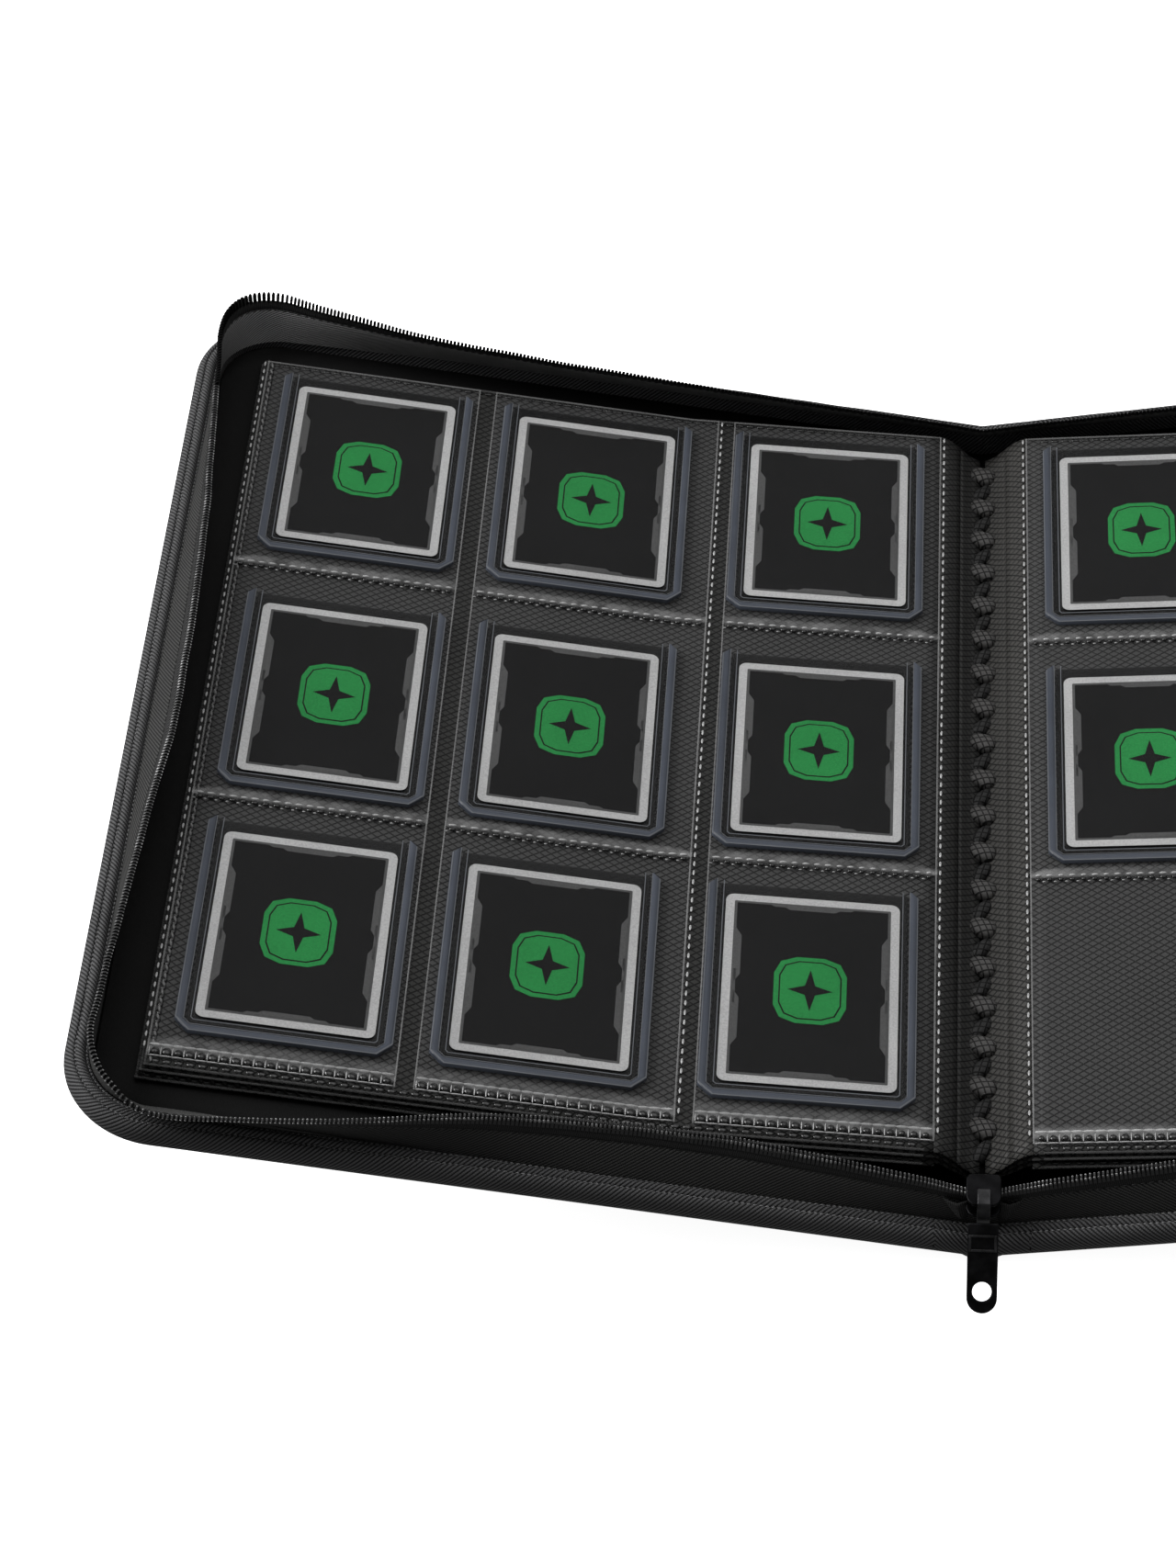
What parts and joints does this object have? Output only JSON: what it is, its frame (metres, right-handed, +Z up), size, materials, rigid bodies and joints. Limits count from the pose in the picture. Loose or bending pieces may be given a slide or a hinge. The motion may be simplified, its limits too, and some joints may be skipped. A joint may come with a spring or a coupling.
{
  "type": "trading card binder",
  "caption": "Zip-up binder for trading cards in rigid sleeves, open on its spine, with turning leaves of side-loading pockets and a zip slider with a swinging pull.",
  "frame": {"origin": "centre of the flat strip under the spine, which the open binder stands on", "axes": "+X across the open binder towards the back cover, +Y up the pages, +Z up from the spine"},
  "size_m": [0.6336, 0.4482, 0.0775],
  "materials": {
    "shell_fabric": "padded ribbed twill, nearly black",
    "board": "plain greyboard, hidden",
    "lining": "plain black lining",
    "wall_fabric": "grey-black twill tape",
    "zip_metal": "black teeth with bright tips",
    "leaf_backing": "embossed diamond textured sheet",
    "clear_film": "clear pocket film",
    "sleeve_plastic": "clear rigid plastic with a blue-grey band",
    "card": "printed card with a silver border",
    "slider_metal": "black enamel"
  },
  "bodies": {
    "spine": {"spine_skin": "shell_fabric", "binding_strip": "leaf_backing", "binding_lace": "leaf_backing", "zip_end_near": "wall_fabric", "zip_end_far": "wall_fabric"},
    "front_cover": {"front_cover_skin": "shell_fabric", "front_cover_board": "board", "front_cover_lining": "lining", "front_zip_wall": "wall_fabric", "front_zip_teeth": "zip_metal"},
    "front_leaves": {"leaf_2_filled": "leaf_backing", "leaf_3_filled": "leaf_backing"},
    "front_top_leaf": {"leaf_1_backing": "leaf_backing", "leaf_1_film_1": "clear_film", "leaf_1_film_2": "clear_film", "leaf_1_film_3": "clear_film", "toploader_leaf_1_11": "sleeve_plastic", "card_leaf_1_11": "card", "toploader_leaf_1_12": "sleeve_plastic", "card_leaf_1_12": "card", "toploader_leaf_1_13": "sleeve_plastic", "card_leaf_1_13": "card", "toploader_leaf_1_21": "sleeve_plastic", "card_leaf_1_21": "card", "toploader_leaf_1_22": "sleeve_plastic", "card_leaf_1_22": "card", "toploader_leaf_1_23": "sleeve_plastic", "card_leaf_1_23": "card", "toploader_leaf_1_31": "sleeve_plastic", "card_leaf_1_31": "card", "toploader_leaf_1_32": "sleeve_plastic", "card_leaf_1_32": "card", "toploader_leaf_1_33": "sleeve_plastic", "card_leaf_1_33": "card"},
    "back_cover": {"back_cover_skin": "shell_fabric", "back_cover_board": "board", "back_cover_lining": "lining", "back_zip_wall": "wall_fabric", "back_zip_teeth": "zip_metal"},
    "back_leaves": {"leaf_5_filled": "leaf_backing", "leaf_6_filled": "leaf_backing"},
    "back_top_leaf": {"leaf_4_backing": "leaf_backing", "leaf_4_film_1": "clear_film", "leaf_4_film_2": "clear_film", "leaf_4_film_3": "clear_film", "toploader_leaf_4_11": "sleeve_plastic", "card_leaf_4_11": "card", "toploader_leaf_4_12": "sleeve_plastic", "card_leaf_4_12": "card", "toploader_leaf_4_13": "sleeve_plastic", "card_leaf_4_13": "card", "toploader_leaf_4_21": "sleeve_plastic", "card_leaf_4_21": "card", "toploader_leaf_4_22": "sleeve_plastic", "card_leaf_4_22": "card", "toploader_leaf_4_23": "sleeve_plastic", "card_leaf_4_23": "card"},
    "slider": {"slider_body": "slider_metal", "slider_bridge": "slider_metal"},
    "pull": {"pull_tab": "slider_metal"}
  },
  "joints": [
    {"name": "front_cover_fold", "type": "hinge", "parent": "spine", "child": "front_cover", "pos_m": [-0.02121, 0, 0.00905], "axis": [0, -1, 0], "range_deg": [-80.5, 0]},
    {"name": "front_leaves_fold", "type": "hinge", "parent": "spine", "child": "front_leaves", "pos_m": [-0.015, 0, 0.0135], "axis": [0, -1, 0], "range_deg": [-80.5, 0]},
    {"name": "front_top_leaf_turn", "type": "hinge", "parent": "front_leaves", "child": "front_top_leaf", "pos_m": [0, 0, 0.027], "axis": [0, 1, 0], "range_deg": [0, 165]},
    {"name": "back_cover_fold", "type": "hinge", "parent": "spine", "child": "back_cover", "pos_m": [0.02121, 0, 0.00905], "axis": [0, 1, 0], "range_deg": [-80.5, 0]},
    {"name": "back_leaves_fold", "type": "hinge", "parent": "spine", "child": "back_leaves", "pos_m": [0.015, 0, 0.0135], "axis": [0, 1, 0], "range_deg": [-80.5, 0]},
    {"name": "back_top_leaf_turn", "type": "hinge", "parent": "back_leaves", "child": "back_top_leaf", "pos_m": [0, 0, 0.027], "axis": [0, -1, 0], "range_deg": [0, 165]},
    {"name": "slider_travel", "type": "slide", "parent": "spine", "child": "slider", "axis": [0, 0, 1], "range_m": [0, 0.006]},
    {"name": "pull_swing", "type": "hinge", "parent": "slider", "child": "pull", "pos_m": [0, -0.2128, 0.0222], "axis": [-1, 0, 0], "range_deg": [0, 120]}
  ],
  "couplings": [
    {"joint": "front_leaves_fold", "follows": "front_cover_fold", "ratio": 1},
    {"joint": "back_leaves_fold", "follows": "back_cover_fold", "ratio": 1}
  ]
}
